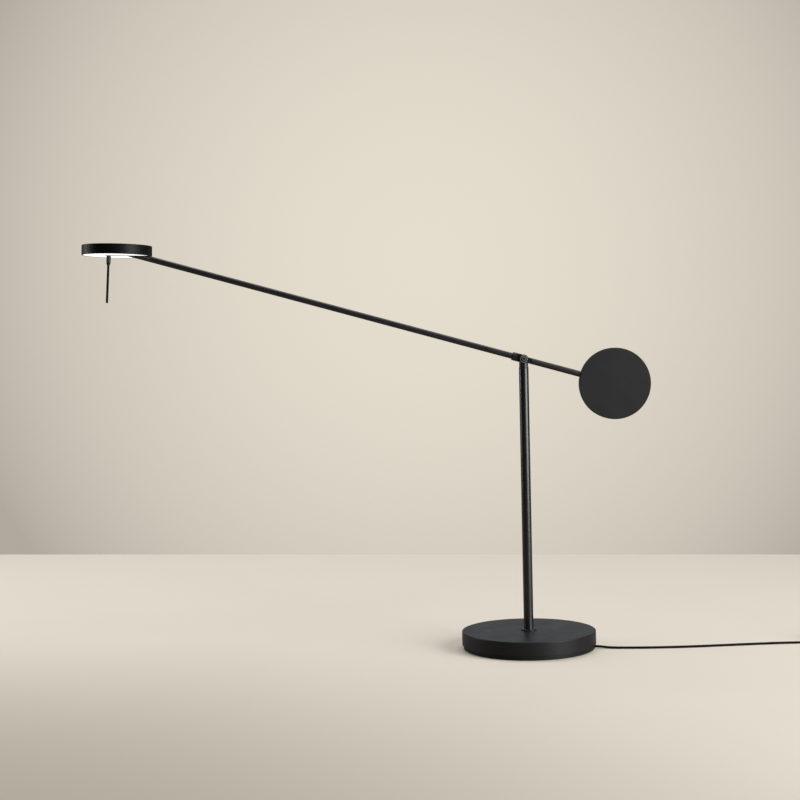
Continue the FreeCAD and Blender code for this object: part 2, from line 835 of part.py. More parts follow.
def arm_knuckle():
    """Eye between the fork's ears with a round socket for the long tube and two spigots."""
    half = knuckle_height / 2
    side = ACROSS * (knuckle_thickness / 2)
    eye = rod(knuckle_height, Vector(0, 0, 0) - side, side)
    head_bar = flat_bar(-knuckle_flat_reach, 0, knuckle_height, knuckle_thickness)
    weight_bar = flat_bar(0, knuckle_flat_reach, arm_diameter, knuckle_thickness)
    socket_face = Vector(-knuckle_socket_end, 0, 0)
    shoulder = Vector(-knuckle_flat_reach, 0, 0)
    sleeve = rod(knuckle_height, socket_face, shoulder)
    sleeve = bevelled(sleeve, knuckle_edge, circle_at(half, ALONG, socket_face.x))
    sleeve = sleeve.cut(rod(arm_diameter, socket_face, shoulder))
    spigot_end = knuckle_flat_reach + knuckle_spigot
    spigots = rod(2 * arm_bore_radius, Vector(-spigot_end, 0, 0), shoulder)
    weight_spigot = rod(2 * arm_bore_radius, shoulder * -1, Vector(spigot_end, 0, 0))
    shape = eye.fuse([head_bar, weight_bar, sleeve, spigots, weight_spigot]).removeSplitter()
    shape = shape.cut(rod(pivot_diameter + 2 * run_gap, side * -2, side * 2))
    mouth, bend = knuckle_lead_points()
    shape = shape.cut(rod(2 * lead_hole_radius, mouth * 2 - bend, bend))
    shape = shape.cut(rod(2 * lead_hole_radius, Vector(-spigot_end, 0, 0), bend + ALONG * lead_radius))
    screw_hole = rod(knuckle_screw_diameter, Vector(knuckle_screw_x(), 0, -half),
                     Vector(knuckle_screw_x(), 0, knuckle_screw_bite - arm_bore_radius))
    return on_arm(shape.cut(screw_hole))


def knuckle_screw_x():
    return -(knuckle_flat_reach + knuckle_socket_end) / 2


def knuckle_lead_points():
    """Where the lead enters the knuckle's lower edge, and where it turns along the arm."""
    mouth = Vector(-knuckle_height / 2, 0, -knuckle_height / 2)
    bend = Vector(-knuckle_flat_reach - lead_diameter, 0, 0)
    return mouth, bend


def arm_tube():
    shoulder = Vector(-knuckle_flat_reach, 0, 0)
    tube = pipe(arm_diameter, 2 * arm_bore_radius, Vector(arm_tube_end, 0, 0), shoulder)
    holes = ((knuckle_screw_x(), knuckle_screw_diameter), (roll_screw_x(), swivel_screw_diameter))
    for x, size in holes:
        tube = tube.cut(rod(size, Vector(x, 0, -arm_diameter), Vector(x, 0, 0)))
    return on_arm(tube)


def roll_screw_x():
    return -arm_reach + roll_screw_reach


def point_down(shape, x):
    """Turns a screw that was made along +X so that its head faces down, at one place on the arm."""
    shape.rotate(Vector(0, 0, 0), ACROSS, 90)
    shape.translate(Vector(x, 0, 0))
    return shape


def knuckle_screw():
    """Small screw under the socket that pins the long tube."""
    tip = arm_bore_radius - knuckle_screw_bite
    inner = tip + knuckle_screw_bite
    outer = knuckle_height / 2 - seat_gap
    screw = grub_screw(knuckle_screw_diameter, knuckle_screw_diameter / 2, outer, inner, tip)
    return on_arm(point_down(screw, knuckle_screw_x()))


def roll_screw():
    """Screw in the tube's underside whose point runs in the head joint's groove."""
    reach = arm_bore_radius - run_gap
    screw = grub_screw(swivel_screw_diameter, dog_diameter, arm_radius - run_gap,
                       reach + 2 * run_gap, reach - dog_depth)
    return on_arm(point_down(screw, roll_screw_x()))


def counterweight_tube():
    end = disc_rim_x + disc_socket_depth - seat_gap
    tube = pipe(arm_diameter, 2 * arm_bore_radius, Vector(knuckle_flat_reach, 0, 0), Vector(end, 0, 0))
    return on_arm(tube)


def counterweight():
    """Solid disc on edge, with a radial socket for its tube and a screw hole behind."""
    centre = Vector(disc_reach, 0, 0)
    side = ACROSS * (disc_thickness / 2)
    disc = rod(disc_diameter, centre - side, centre + side)
    for face in (-disc_thickness / 2, disc_thickness / 2):
        disc = bevelled(disc, disc_edge, circle_at(disc_diameter / 2, ACROSS, face))
    mouth = Vector(disc_rim_x - disc_edge, 0, 0)
    disc = disc.cut(rod(arm_diameter, mouth, Vector(disc_rim_x + disc_socket_depth, 0, 0)))
    place = Vector(disc_screw_x(), 0, 0)
    disc = disc.cut(rod(disc_screw_diameter, place, place + side))
    return on_arm(disc)


def disc_screw_x():
    return disc_rim_x + disc_socket_depth / 2


def counterweight_screw():
    """Grub screw from behind that clamps the disc on its tube."""
    tip = arm_radius
    body = grub_screw(disc_screw_diameter, disc_screw_diameter / 2, disc_thickness / 2 - seat_gap / 2,
                      tip + seat_gap, tip)
    body.rotate(Vector(0, 0, 0), UP, 90)
    body.translate(Vector(disc_screw_x(), 0, 0))
    return on_arm(body)


def arm_lead():
    """Lead inside the arm, from the knuckle's mouth to the head joint."""
    mouth, bend = knuckle_lead_points()
    end = Vector(-arm_reach + shank_start + lead_diameter, 0, 0)
    start = mouth + (bend - mouth).normalize() * lead_setback
    return on_arm(along_path(rounded_path([start, bend, end], lead_bend)[0], lead_diameter))


# ---- head joint: modelled along the arm from the head's pin ----
def at_arm_end(shape):
    shape.translate(Vector(-arm_reach, 0, 0))
    return on_arm(shape)


def head_knuckle():
    """Eye in the head's slot on a shank that turns inside the long tube."""
    side = ACROSS * (knuckle_thickness / 2)
    shank_radius = arm_bore_radius - run_gap
    shank_end = shank_start + shank_length
    eye = rod(2 * head_eye_radius, Vector(0, 0, 0) - side, side)
    bar = flat_bar(0, head_eye_reach, 2 * head_eye_radius, knuckle_thickness)
    collar = rod(arm_diameter, Vector(head_eye_reach, 0, 0), Vector(shank_start, 0, 0))
    shank = rod(2 * shank_radius, Vector(shank_start, 0, 0), Vector(shank_end, 0, 0))
    shape = eye.fuse([bar, collar, shank]).removeSplitter()
    shape = shape.cut(rod(head_pin_diameter + 2 * run_gap, side * -2, side * 2))
    shape = shape.cut(rod(2 * lead_hole_radius, Vector(shank_start, 0, 0), Vector(shank_end, 0, 0)))
    exit_hole = rod(2 * lead_hole_radius, Vector(shank_start + lead_radius, 0, 0),
                    Vector(head_eye_reach - head_eye_radius, 0, arm_diameter))
    shape = shape.cut(exit_hole)
    groove = stop_groove(2 * shank_radius, dog_depth + groove_slack, dog_diameter + 2 * groove_slack,
                         roll_stop_web, 0)
    groove.rotate(Vector(0, 0, 0), ACROSS, -90)
    groove.translate(Vector(roll_screw_reach, 0, 0))
    return at_arm_end(shape.cut(groove))


# ---- head: modelled level about its pin, then tilted ----
def on_head(shape):
    angle = math.radians(arm_angle)
    pin = Vector(-arm_reach * math.cos(angle), 0, pivot_z + arm_reach * math.sin(angle))
    shape.rotate(Vector(0, 0, 0), ACROSS, head_angle)
    shape.translate(pin)
    return shape


def head_rim():
    """Ring with a slot from its lower edge, so that the arm can fold flat into the head."""
    ring = pipe(head_diameter, 2 * head_inner_radius, Vector(0, 0, head_under), Vector(0, 0, head_upper))
    ring = rounded(ring, head_edge, circle_at(head_radius, UP, head_upper))
    half_slot = head_slot_width / 2
    notch = block(Vector(0, -half_slot, head_under), Vector(head_diameter, half_slot, head_ceiling))
    return on_head(ring.cut(notch))


def head_cap():
    """Disc closed into the top of the rim, with blind holes for the pivot block's screws."""
    cap = rod(2 * head_inner_radius, Vector(0, 0, head_ceiling), Vector(0, 0, head_upper))
    cap = bevelled(cap, cap_edge, circle_at(head_inner_radius, UP, head_upper))
    for place in lug_screw_places(head_ceiling):
        cap = cap.cut(rod(lug_screw_diameter, place, place + UP * lug_screw_bite))
    return on_head(cap)


def lug_screw_places(z):
    out = block_half + lug_width / 2
    return [Vector(lug_x, -out, z), Vector(lug_x, out, z), Vector(-block_back - lug_width / 2, 0, z)]


def lug_boxes(slack=0.0):
    """The three feet of the pivot block, or with slack the room that the board leaves for them."""
    boxes = []
    for side in (-1, 1):
        middle = Vector(lug_x, side * (block_half + lug_width / 2), 0)
        boxes.append((middle, lug_length / 2, lug_width / 2))
    boxes.append((Vector(-block_back - lug_width / 2, 0, 0), lug_width / 2, lug_length / 2))
    feet = []
    for middle, half_x, half_y in boxes:
        low = middle + Vector(-half_x - slack, -half_y - slack, lug_under)
        high = middle + Vector(half_x + slack, half_y + slack, head_ceiling)
        feet.append(block(low, high))
    return feet


def block_outline():
    """The pivot block's plan, out to the inside of the rim."""
    bar = block(Vector(-block_back, -block_half, block_under),
                Vector(head_radius, block_half, head_ceiling))
    inside = rod(2 * head_inner_radius, Vector(0, 0, head_under), Vector(0, 0, head_ceiling))
    return bar.common(inside)


def pivot_block():
    """Channel that the arm's end folds into: two cheeks for the pin, a solid end for the handle."""
    solid = block_outline().fuse(lug_boxes()).removeSplitter()
    half = head_slot_width / 2
    slot = block(Vector(-head_slot_start, -half, head_under), Vector(head_diameter, half, head_ceiling))
    slot = rounded(slot, block_corner, lambda edge: is_upright_at(edge, -head_slot_start))
    solid = solid.cut(slot)
    for place in lug_screw_places(lug_under):
        solid = solid.cut(rod(lug_screw_diameter, place, place + UP * lug_thickness))
    reach = ACROSS * (2 * block_half)
    solid = solid.cut(rod(head_pin_diameter, reach * -1, reach))
    hole_top = Vector(handle_x, 0, block_under + handle_thread)
    solid = solid.cut(on_handle(rod(handle_diameter, Vector(handle_x, 0, head_under), hole_top)))
    return on_head(solid)


def is_upright_at(edge, x):
    first = edge.Vertexes[0].Point
    last = edge.Vertexes[-1].Point
    upright = abs(first.x - last.x) + abs(first.y - last.y) < same
    return upright and abs(first.x - x) < same


def head_pin():
    """Headed pin through the cheeks and the eye, grooved for its clip."""
    face = block_half
    tail = face + head_pin_head_height + clip_thickness
    head = rod(head_pin_head, Vector(0, -face - head_pin_head_height, 0), Vector(0, -face, 0))
    shank = rod(head_pin_diameter, Vector(0, -face, 0), Vector(0, tail, 0))
    groove = pipe(head_pin_head, head_pin_diameter - 2 * clip_bite,
                  Vector(0, face + run_gap, 0), Vector(0, face + run_gap + clip_thickness, 0))
    return on_head(head.fuse(shank).cut(groove))


def pin_clip():
    """Open clip in the pin's groove."""
    start = Vector(0, block_half + run_gap, 0)
    end = start + ACROSS * clip_thickness
    ring = pipe(clip_diameter, head_pin_diameter - 2 * clip_bite, start, end)
    opening = sector(clip_diameter, -end.y, -start.y, -90 - clip_gap_angle / 2, clip_gap_angle)
    opening.rotate(Vector(0, 0, 0), ALONG, 90)
    return on_head(ring.cut(opening))


def head_spacers():
    """Washers that centre the eye between the cheeks."""
    spacers = []
    for side in (-1, 1):
        near = side * (knuckle_thickness / 2 + run_gap)
        far = side * head_slot_width / 2
        spacers.append(pipe(2 * head_eye_radius - seat_gap, head_pin_diameter,
                            Vector(0, near, 0), Vector(0, far, 0)))
    return on_head(group(spacers))


def block_screws():
    """Three pan-head screws that hold the pivot block's feet up to the cap."""
    screws = []
    for place in lug_screw_places(lug_under):
        shank = rod(lug_screw_diameter, place, place + UP * (lug_thickness + lug_screw_bite))
        low = place - UP * lug_screw_head_height
        head = rod(lug_screw_head, low, place)
        socket = hexagon(lug_screw_key, low, low + UP * lug_screw_key_depth)
        screws.append(shank.fuse(head).cut(socket))
    return on_head(group(screws))


def led_board():
    """Round metal board against the cap, open along the pivot block."""
    disc = rod(2 * led_board_radius, Vector(0, 0, led_under), Vector(0, 0, head_ceiling))
    disc = disc.cut(block_room())
    for room in lug_boxes(seat_gap):
        disc = disc.cut(room)
    return on_head(disc)


def block_room():
    """The space that the diffuser, board and reflector leave for the pivot block."""
    return block(Vector(-block_back - seat_gap, -block_half - seat_gap, head_under),
                 Vector(head_diameter, block_half + seat_gap, head_ceiling))


def led_chips():
    """Rings of light chips on the board's lower face, clear of the block's feet."""
    chips = []
    margin = chip_size
    half = chip_size / 2
    keep_out = block_half + lug_width + margin
    for inset, count in chip_rings:
        radius = led_board_radius - inset
        for k in range(count):
            angle = math.radians((2 * k + 1) * 180 / count)
            x = radius * math.cos(angle)
            y = radius * math.sin(angle)
            blocked = abs(y) < keep_out and x > -block_back - lug_width - margin
            if not blocked:
                chips.append(block(Vector(x - half, y - half, led_under - chip_height),
                                   Vector(x + half, y + half, led_under)))
    return on_head(group(chips))


def reflector():
    """White coned ring from the diffuser up to the board."""
    outer = head_inner_radius - seat_gap
    top = led_under - seat_gap
    low = diffuser_top
    inset = reflector_slope
    outline = [(outer - reflector_wall, low), (outer, low), (outer - inset, top),
               (outer - inset - reflector_wall, top)]
    return on_head(turned(outline).cut(block_room()))


def diffuser():
    """Opal disc just inside the rim, open along the pivot block."""
    radius = head_inner_radius - seat_gap
    disc = rod(2 * radius, Vector(0, 0, block_under), Vector(0, 0, diffuser_top))
    return on_head(disc.cut(block_room()))


def on_handle(shape):
    """Leans a piece of the handle about the place where it meets the pivot block."""
    shape.rotate(Vector(handle_x, 0, block_under), ACROSS, handle_lean)
    return shape


def handle_ferrule():
    """Turned foot of the handle, faced off along the block and tapering down to the rod."""
    wide = ferrule_diameter / 2
    bore = handle_diameter / 2
    stock = block_under + seat_gap
    barrel_end = block_under - ferrule_barrel
    taper_end = barrel_end - ferrule_taper
    lip = bore + seat_gap
    outline = [(bore, stock), (wide, stock), (wide, barrel_end), (lip, taper_end), (bore, taper_end)]
    foot = on_handle(turned(outline, UP, Vector(handle_x, 0, 0)))
    face = Vector(handle_x, 0, block_under)
    return on_head(foot.cut(rod(2 * ferrule_diameter, face, face + UP * wide)))


def handle_rod():
    """Thin rod with a rounded tip, screwed up into the pivot block."""
    top = Vector(handle_x, 0, block_under + handle_thread - screw_relief)
    end = head_under - handle_length
    bar = rod(handle_diameter, Vector(handle_x, 0, end), top)
    bar = rounded(bar, handle_tip, circle_at(handle_diameter / 2, UP, end))
    return on_head(on_handle(bar))


# ---- cord, coil and driver ----
def cord_path():
    return rounded_path([Vector(*point) for point in cord_route])


def power_cord():
    return along_path(cord_path()[0], cord_diameter)


def power_cord_tail():
    """The short stretch from the coil up to the driver's strain relief."""
    points = [Vector(coil_x + step, driver_y() + aside, z) for step, aside, z in tail_steps]
    return along_path(rounded_path(points)[0], cord_diameter)


def power_cord_coil():
    """The outer shape of the neat coil that takes up the rest of the cord."""
    thick = coil_layers * cord_diameter
    inner = (coil_mid_diameter - thick) / 2
    outer = (coil_mid_diameter + thick) / 2
    ring = pipe(2 * outer, 2 * inner, Vector(coil_x, coil_y, 0), Vector(coil_x, coil_y, thick))
    return rounded(ring, cord_radius, lambda edge: isinstance(edge.Curve, Part.Circle))


def driver_y():
    """The driver lies in line with the coil's outermost turn where it leaves along +X."""
    return coil_y - (coil_mid_diameter + (coil_layers - 1) * cord_diameter) / 2


def driver_bush_z():
    return driver_height / 2


def driver_body():
    """Moulded housing of the plug-in driver, lying on its broad side."""
    low = Vector(driver_x, driver_y() - driver_width / 2, 0)
    box = block(low, low + Vector(driver_length, driver_width, driver_height))
    box = rounded(box, driver_round, lambda edge: is_along(edge, ALONG))
    return rounded(box, driver_edge, is_at_driver_end)


def is_at_driver_end(edge):
    """Picks the edges that lie in either end face of the driver."""
    ends = (driver_x, driver_x + driver_length)
    return any(all(abs(vertex.Point.x - end) < same for vertex in edge.Vertexes) for end in ends)


def is_along(edge, axis):
    span = edge.Vertexes[-1].Point - edge.Vertexes[0].Point
    return abs(abs(span.dot(axis)) - span.Length) < same


def driver_bush():
    """Tapered strain relief between the driver and the cord's tail."""
    outline = [(0, 0), (driver_bush_narrow / 2, 0), (driver_bush_wide / 2, driver_bush_length),
               (0, driver_bush_length)]
    return turned(outline, ALONG, Vector(driver_x - driver_bush_length, driver_y(), driver_bush_z()))


def driver_pins():
    pins = []
    face = driver_x + driver_length
    for side in (-1, 1):
        start = Vector(face, driver_y() + side * driver_pin_pitch / 2, driver_bush_z())
        end = start + ALONG * driver_pin_length
        pin = rod(driver_pin_diameter, start, end)
        picks = circle_at(driver_pin_diameter / 2, ALONG, end.x)
        pins.append(rounded(pin, driver_pin_round, picks))
    return group(pins)


PIECES = (
    base_cover, base_weight, bottom_plate, foot_pad, bottom_screws, touch_key, touch_spring,
    dimmer_board, dimmer_parts, board_screws, cord_bush, inner_lead, pole_nipple, pole_nut,
    lock_washer, pole_collar, pole_tube, swivel_bush, swivel_screw, pole_lead,
    fork, thrust_washer, friction_washers, front_washer, pivot_screw, spring_washer, pivot_nut,
    arm_knuckle, arm_tube, knuckle_screw, roll_screw, counterweight_tube, counterweight,
    counterweight_screw, arm_lead, head_knuckle,
    head_rim, head_cap, pivot_block, head_pin, pin_clip, head_spacers, block_screws, led_board, led_chips,
    reflector, diffuser, handle_ferrule, handle_rod,
    power_cord, power_cord_coil, power_cord_tail, driver_body, driver_bush, driver_pins,
)


def report_cord():
    """Says how the cord's tube bends and whether its volume is that of its length."""
    path, radii = cord_path()
    section = math.pi * cord_radius ** 2
    print("cord arc radii, mm:", [round(radius, 1) for radius in radii])
    print("cord on the table, mm:", round(path.Length, 1))
    print("cord in the coil and tail, mm:", round(cord_length - path.Length, 1))
    ratio = power_cord().Volume / (section * path.Length)
    print("tube volume against section times length:", round(ratio, 4))


def main():
    os.makedirs("parts", exist_ok=True)
    for make in PIECES:
        shape = make()
        if not shape.isValid() or shape.Volume <= 0:
            raise ValueError(make.__name__ + " is not a sound solid")
        shape.exportStep("parts/" + make.__name__ + ".step")
    report_cord()


main()
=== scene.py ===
import json
import math

import bmesh
import bpy
from mathutils import Matrix, Vector


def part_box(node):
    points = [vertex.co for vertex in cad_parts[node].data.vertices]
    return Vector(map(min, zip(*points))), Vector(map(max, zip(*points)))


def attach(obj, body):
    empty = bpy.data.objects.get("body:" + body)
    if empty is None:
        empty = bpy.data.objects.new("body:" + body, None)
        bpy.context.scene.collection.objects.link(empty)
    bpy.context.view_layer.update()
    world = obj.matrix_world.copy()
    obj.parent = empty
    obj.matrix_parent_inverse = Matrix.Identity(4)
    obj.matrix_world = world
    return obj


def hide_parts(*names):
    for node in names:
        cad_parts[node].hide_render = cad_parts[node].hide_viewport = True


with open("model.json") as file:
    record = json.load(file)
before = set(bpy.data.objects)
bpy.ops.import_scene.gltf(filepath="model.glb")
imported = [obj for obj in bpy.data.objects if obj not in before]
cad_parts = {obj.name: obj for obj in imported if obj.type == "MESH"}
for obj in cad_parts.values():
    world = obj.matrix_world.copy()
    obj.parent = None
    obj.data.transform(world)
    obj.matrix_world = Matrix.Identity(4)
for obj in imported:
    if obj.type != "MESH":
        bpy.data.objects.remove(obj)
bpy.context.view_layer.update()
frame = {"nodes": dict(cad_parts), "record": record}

# The dressed desk lamp. Metres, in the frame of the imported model: the origin is the centre of the
# base on the table, +X points to the counterweight, +Y away from the camera, +Z up.

# ---- camera ----
CAMERA_PLACE = (-0.17158, -2.01991, 0.39633)
CAMERA_SENSOR = 36.0          # millimetres
CAMERA_LENS = 67.674
CAMERA_PITCH = -1.639         # degrees from level
CAMERA_YAW = -0.13
CAMERA_ROLL = -1.25

# ---- cord: its route on the table, then its coil, then its tail up to the driver ----
CORD_DIAMETER = 0.0032
CORD_EXIT = (0.0875, -0.0154, 0.0034)
CORD_ROUTE = (
    CORD_EXIT, (0.0954, -0.0168, 0.0030), (0.108, -0.0189, 0.0016),
    (0.132, -0.0221, 0.0016), (0.168, -0.0248, 0.0016), (0.212, -0.0238, 0.0016),
    (0.256, -0.0194, 0.0016), (0.300, -0.0146, 0.0016), (0.340, -0.0119, 0.0016),
    (0.380, -0.0121, 0.0016), (0.412, -0.0114, 0.0016),
)
COIL_CENTRE = (0.414, 0.011)
COIL_STAGES = (               # turns, then the radius and the height at the start and at the end
    (3.0, 0.0223, 0.0127, 0.0016, 0.0016),
    (0.25, 0.0127, 0.0127, 0.0016, 0.0048),
    (3.0, 0.0127, 0.0223, 0.0048, 0.0048),
    (0.5, 0.0223, 0.0223, 0.0048, 0.0080),
    (3.0, 0.0223, 0.0127, 0.0080, 0.0080),
    (0.25, 0.0127, 0.0127, 0.0080, 0.0112),
    (3.0, 0.0127, 0.0223, 0.0112, 0.0112),
)
COIL_POINTS_PER_TURN = 14
COIL_POINT_REACH = 1 / 0.975  # how far a control point stands outside the turn it makes
COIL_START = -90.0            # degrees
CORD_TAIL = (
    (0.418, -0.0113, 0.0112), (0.426, -0.0110, 0.0116), (0.4345, -0.0113, 0.0130),
    (0.443, -0.0113, 0.0130),
)
CORD_SIDES = 5                # Blender's bevel resolution of the round section
CORD_STEPS = 6                # points drawn between two control points

# ---- driver ----
DRIVER_SEAM_HEIGHT = 0.013
DRIVER_SEAM_EDGE = (0.0001, 0.00035)    # heights off the seam between which it fades out
DRIVER_SEAM_DEPTH = 8.0       # in heights of the spark texture
PIN_SLEEVE_END = (0.5365, 0.5367)       # X between which the plug's pins become bare
SLEEVE_BLACK = (0.02, 0.02, 0.021)

# ---- tie round the coil ----
TIE_BEARING = 205.0           # degrees round the coil
TIE_WIDTH = 0.008
TIE_THICKNESS = 0.0006
TIE_INNER = 0.0108            # from the coil's centre
TIE_OUTER = 0.0242
TIE_LOW = 0.0007
TIE_HIGH = 0.0131
TIE_CORNER = 0.0018
TIE_TAB = 0.0075
TIE_CORNER_STEPS = 4
TIE_EDGE = TIE_THICKNESS / 4

# ---- pivot: rings of painted shade and painted highlight on its steel, as distances from the screw's axis and shares of its colour ----
PIVOT_HOLE_RADII = (0.0011, 0.0015)     # the socket's edge
# share of the colour for the painted shade in the socket
PIVOT_SOCKET_SHADE = 0.1
PIVOT_GAP_RADIUS = 0.0033     # where the screw's head meets its washer
PIVOT_GAP_EDGE = (0.0002, 0.0005)       # distances from there between which the painted shadow of the gap fades out
# share of the colour for the painted shadow in the gap
PIVOT_GAP_SHADE = 0.2
PIVOT_RIM_RADII = (0.0039, 0.0046)      # where the painted highlight on the washer's rim starts
# share of the colour for the painted highlight on the rim
PIVOT_RIM_HIGHLIGHT = 2.8

# ---- table ----
TABLE_THICKNESS = 0.036
TABLE_CORNERS = ((-4.0, -4.5), (4.0, -4.5), (4.0, 0.286), (-4.0, 1.635))
TABLE_NEAR = (0.765, 0.700, 0.600)
TABLE_SHADED = (0.540, 0.480, 0.396)
TABLE_SHADE_CORNER = (-0.75, -1.0, 0)
TABLE_SHADE_REACH = (0.35, 1.15)         # from the corner: where the painted shade fades out
TABLE_BOUNCE = 0.4            # how much of its colour the table shows to anything but the camera
TABLE_GLOW = 0.115            # emission at the origin, for the camera alone
TABLE_GLOW_SLOPE = (-0.090, 0.105, 0)   # its growth per metre along each axis

# ---- wall and studio ----
# the wall's colour: a painted pool of light, bright at its centre and dim at its edge
WALL_BRIGHT = (0.782, 0.727, 0.621)
WALL_DIM = (0.433, 0.395, 0.343)
WALL_SPOT = (0.0204, 0.9977, 0.0639)    # the way from the camera to the centre of the wall's painted pool of light
WALL_SPREAD = 0.95            # cosine of the angle from there at which the wall is dimmest
WALL_FALLOFF = 0.84
STUDIO_TINT = (0.97, 1.0, 1.04)
STUDIO_FILL = 0.12            # strength for diffuse rays
STUDIO_FRONT = 0.03           # strength for glossy rays: in front and at the sides
STUDIO_BACK = 0.32            # and straight behind
STUDIO_BACK_EDGE = (0.6, 0.95)          # the way's Y between which one becomes the other

# ---- lights: name, place, aim, width, height, watts ----
LIGHTS = (
    ("key", (1.75, -1.35, 0.96), (0.0, 0.0, 0.45), 1.6, 1.9, 66),
    ("overhead", (-0.1, 0.55, 2.1), (-0.1, 0.3, 0.0), 2.2, 1.6, 22),
    ("left_strip", (-1.9, 0.45, 0.75), (0.0, 0.0, 0.2), 0.35, 1.3, 7),
)


# ---- small node helpers ----
NOISE_LOW = 0.3               # most of a noise's values lie between these
NOISE_HIGH = 0.7
EDGE_STARTS = 0.995           # cosine between the true and the rounded normal where an edge starts
EDGE_IS_FULL = 0.90
EDGE_SAMPLES = 4
CELL_REACH = 0.8              # few points of a cell pattern are farther from its centres


def scaled(colour, factor):
    return tuple(channel * factor for channel in colour)


class Nodes:
    """A node tree that is built node by node."""

    def __init__(self, tree):
        self.tree = tree

    def add(self, kind, **settings):
        made = self.tree.nodes.new(kind)
        for name, value in settings.items():
            setattr(made, name, value)
        return made

    def feed(self, socket, value):
        """Sets an input to a number, a vector or a colour, or links it to an output."""
        if isinstance(value, (int, float)):
            socket.default_value = value
        elif isinstance(value, tuple):
            socket.default_value = (*value, 1)[:len(socket.default_value)]
        else:
            self.tree.links.new(value, socket)

    def feed_all(self, made, **values):
        """Feeds a node's inputs by name, with an underscore for each space."""
        for name, value in values.items():
            self.feed(made.inputs[name.replace("_", " ")], value)

    def ranged(self, value, start, end, low=0, high=1, smooth=False):
        kind = "SMOOTHSTEP" if smooth else "LINEAR"
        made = self.add("ShaderNodeMapRange", interpolation_type=kind)
        self.feed_all(made, Value=value, From_Min=start, From_Max=end, To_Min=low, To_Max=high)
        return made.outputs["Result"]

    def maths(self, kind, first, second=0):
        made = self.add("ShaderNodeMath", operation=kind)
        self.feed(made.inputs[0], first)
        self.feed(made.inputs[1], second)
        return made.outputs["Value"]

    def vector_maths(self, kind, first, second=(0, 0, 0)):
        made = self.add("ShaderNodeVectorMath", operation=kind)
        self.feed(made.inputs[0], first)
        self.feed(made.inputs[1], second)
        gives_number = kind in ("DOT_PRODUCT", "DISTANCE", "LENGTH")
        return made.outputs["Value" if gives_number else "Vector"]

    def along(self, vector, axis):
        split = self.add("ShaderNodeSeparateXYZ")
        self.feed_all(split, Vector=vector)
        return split.outputs[axis]

    def mixed(self, factor, first, second):
        """A colour between two colours."""
        made = self.add("ShaderNodeMix", data_type="RGBA")
        self.feed_all(made, Factor=factor)
        colours = [socket for socket in made.inputs if socket.type == "RGBA"]
        self.feed(colours[0], first)
        self.feed(colours[1], second)
        return [socket for socket in made.outputs if socket.type == "RGBA"][0]

    def between(self, factor, first, second):
        """A number between two numbers."""
        made = self.add("ShaderNodeMix", data_type="FLOAT")
        self.feed_all(made, Factor=factor, A=first, B=second)
        return made.outputs["Result"]


class Look(Nodes):
    """A material, with the nodes that feed its shader."""

    def __init__(self, name):
        self.material = bpy.data.materials.new(name)
        self.material.use_nodes = True
        super().__init__(self.material.node_tree)
        self.shader = self.tree.nodes["Principled BSDF"]
        self.point = self.add("ShaderNodeTexCoord").outputs["Object"]

    def set(self, **values):
        """Sets or links inputs of the shader."""
        self.feed_all(self.shader, **values)

    def noise(self, size, detail=2.0, rough=0.5, stretch=None):
        """Noise with features of about this size in metres, longer where stretch is under 1."""
        texture = self.add("ShaderNodeTexNoise")
        self.feed_all(texture, Scale=1 / size, Detail=detail, Roughness=rough)
        self.feed_all(texture, Vector=self.stretched(stretch) if stretch else self.point)
        return texture.outputs["Fac"]

    def stretched(self, stretch):
        mapping = self.add("ShaderNodeMapping")
        self.feed_all(mapping, Scale=stretch, Vector=self.point)
        return mapping.outputs["Vector"]

    def cells(self, size):
        texture = self.add("ShaderNodeTexVoronoi", feature="SMOOTH_F1")
        self.feed_all(texture, Scale=1 / size, Vector=self.point)
        return texture.outputs["Distance"]

    def spread(self, noise, low=0, high=1):
        """A noise, drawn out over the whole range from low to high."""
        return self.ranged(noise, NOISE_LOW, NOISE_HIGH, low, high)

    def two_tone(self, noise, colour, dark, light):
        """The colour, shaded by a noise between two shares of itself."""
        return self.mixed(self.spread(noise), scaled(colour, dark), scaled(colour, light))

    def over_cells(self, cells, low, high):
        """Low at each cell's centre, high where cells meet."""
        return self.ranged(cells, 0, CELL_REACH, low, high)

    def edges(self, radius):
        """1 on sharp edges, 0 on flat and gently curved faces."""
        bevel = self.add("ShaderNodeBevel", samples=EDGE_SAMPLES)
        self.feed_all(bevel, Radius=radius)
        plain = self.add("ShaderNodeNewGeometry")
        cosine = self.vector_maths("DOT_PRODUCT", bevel.outputs["Normal"], plain.outputs["Normal"])
        return self.ranged(cosine, EDGE_STARTS, EDGE_IS_FULL, smooth=True)

    def with_edge_highlight(self, body, colour, radius, share, paler, highlight_patches=1):
        """The body's colour, with a painted highlight: a share of its edges lightened toward a
        paler tone.
        """
        amount = self.maths("MULTIPLY", self.maths("MULTIPLY", self.edges(radius), highlight_patches), share)
        return self.mixed(amount, body, scaled(colour, paler))

    def ring(self, distance, radii):
        """0 within the first radius, 1 beyond the second."""
        return self.ranged(distance, *radii, smooth=True)

    def bump(self, height, depth):
        made = self.add("ShaderNodeBump")
        self.feed_all(made, Distance=depth, Strength=1.0, Height=height)
        self.set(Normal=made.outputs["Normal"])


